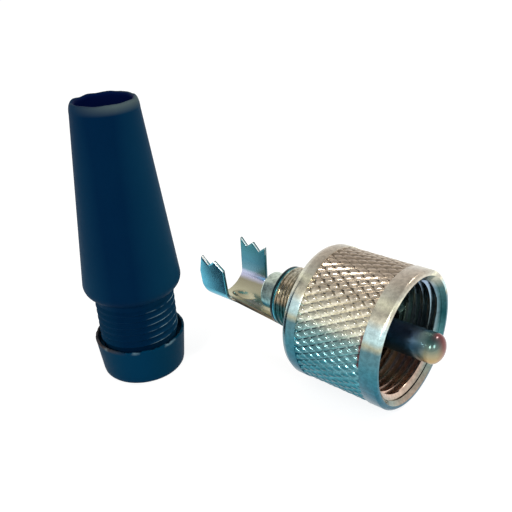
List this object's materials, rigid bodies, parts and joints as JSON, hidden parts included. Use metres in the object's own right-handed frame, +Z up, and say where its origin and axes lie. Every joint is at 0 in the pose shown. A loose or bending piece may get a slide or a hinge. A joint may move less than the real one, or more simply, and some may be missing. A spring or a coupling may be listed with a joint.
{
  "type": "coaxial plug with screw boot",
  "caption": "Coaxial radio plug with a knurled coupling nut, centre pin and toothed cable clamp, and its tapered screw-on boot standing beside it.",
  "frame": {"origin": "middle of the footprint of the plug and its boot, on the surface they stand on", "axes": "+Z up, +X along the plug's axis in the direction in which its centre pin points"},
  "size_m": [0.0464, 0.0308, 0.0389],
  "materials": {
    "nickel_nut": "bright nickel plate with a brown and blue cast",
    "nickel_body": "nickel plate, browner on the rear thread",
    "insulator": "dark moulded plastic",
    "pin": "bright plate with a tinned tip",
    "clamp": "plated sheet",
    "boot": "satin black with a blue cast",
    "ring": "satin black with a ragged rim"
  },
  "bodies": {
    "plug": {"plug_body": "nickel_body", "insulator": "insulator", "centre_pin": "pin", "cable_clamp": "clamp"},
    "nut": {"coupling_nut": "nickel_nut"},
    "ring": {"boot_ring": "ring"},
    "sleeve": {"boot": "boot"}
  },
  "joints": [
    {"name": "nut_spin", "type": "hinge", "parent": "plug", "child": "nut", "pos_m": [0.01225, 0.00617, 0.0092], "axis": [1, 0, 0], "continuous": true},
    {"name": "ring_screw", "type": "hinge", "parent": "plug", "child": "ring", "pos_m": [-0.01645, -0.00863, 0.0028], "axis": [0, 0, -1], "range_deg": [0, 900]},
    {"name": "boot_lift", "type": "slide", "parent": "plug", "child": "sleeve", "axis": [0, 0, 1], "range_m": [0, 0.0025]}
  ],
  "couplings": [
    {"joint": "ring_screw", "follows": "boot_lift", "rad_per_m": 6283}
  ]
}
